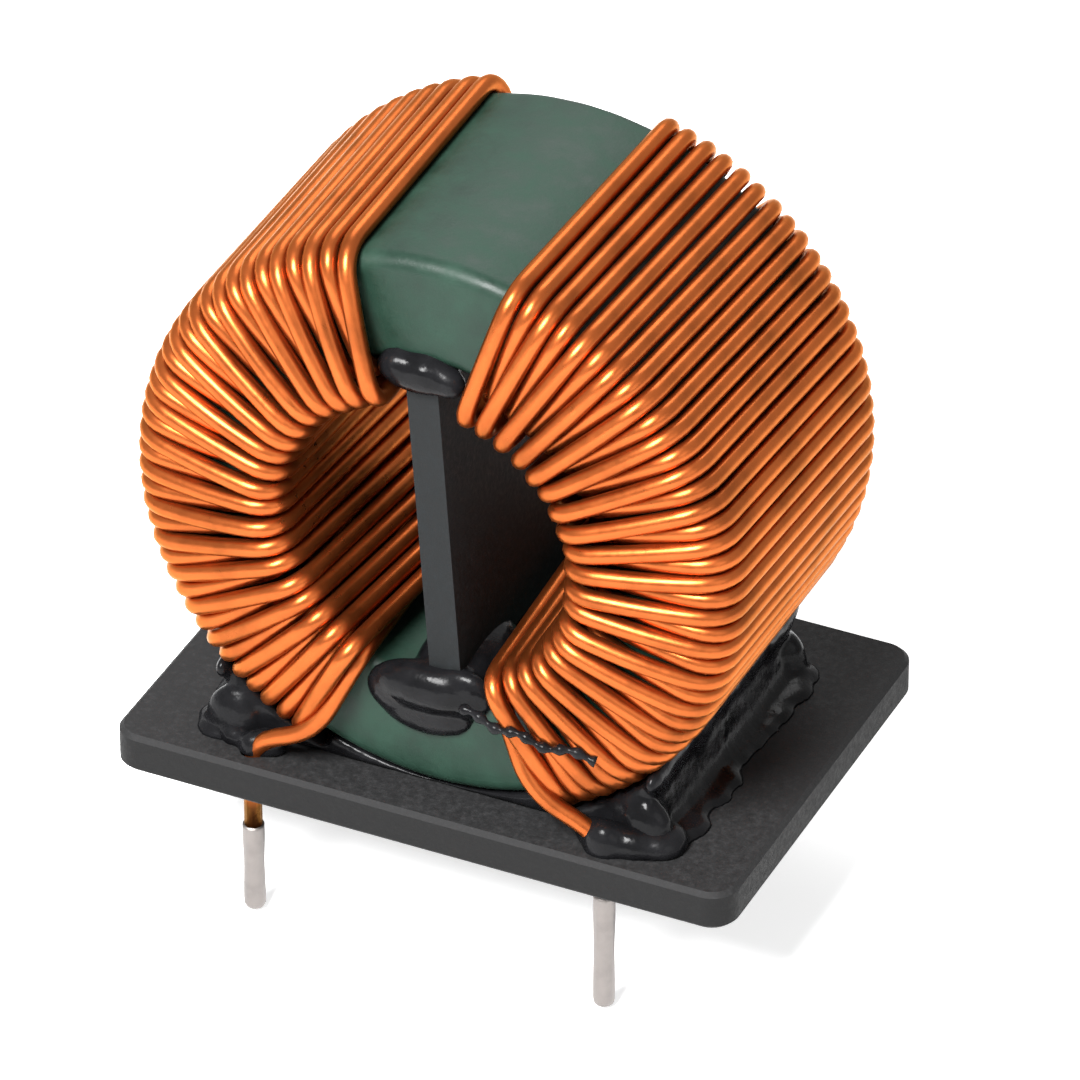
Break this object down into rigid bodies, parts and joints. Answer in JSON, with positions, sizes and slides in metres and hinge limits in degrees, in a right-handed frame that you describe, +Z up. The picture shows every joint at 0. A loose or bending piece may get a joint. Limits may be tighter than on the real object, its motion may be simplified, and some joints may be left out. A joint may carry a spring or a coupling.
{
  "type": "fixed inductor",
  "caption": "Vertical toroidal common-mode choke: green coated ring with copper windings on both sides, a divider in the bore and a black base plate with wire leads.",
  "frame": {"origin": "centre of the base plate's underside, the face that sits on the board", "axes": "+Z up from the board; +X along the base's long side; +Y along the ring's axis towards the rear, so the side seen in the picture faces -Y"},
  "size_m": [0.028, 0.0196, 0.0338],
  "materials": {
    "enamelled_copper": "glossy copper-coloured wire enamel",
    "core_coating": "satin green epoxy coat over ferrite",
    "base_plastic": "matte grainy black",
    "black_glue": "glossy cured adhesive",
    "tin": "dull solder"
  },
  "bodies": {
    "root": {"base_plate": "base_plastic", "toroid_core": "core_coating", "winding_left": "enamelled_copper", "winding_right": "enamelled_copper", "divider_plate": "base_plastic", "base_adhesive": "black_glue", "divider_glue_bottom": "black_glue", "divider_glue_top": "black_glue", "solder_tip_front_left": "tin", "solder_tip_front_right": "tin", "solder_tip_rear_left": "tin", "solder_tip_rear_right": "tin"}
  },
  "joints": []
}
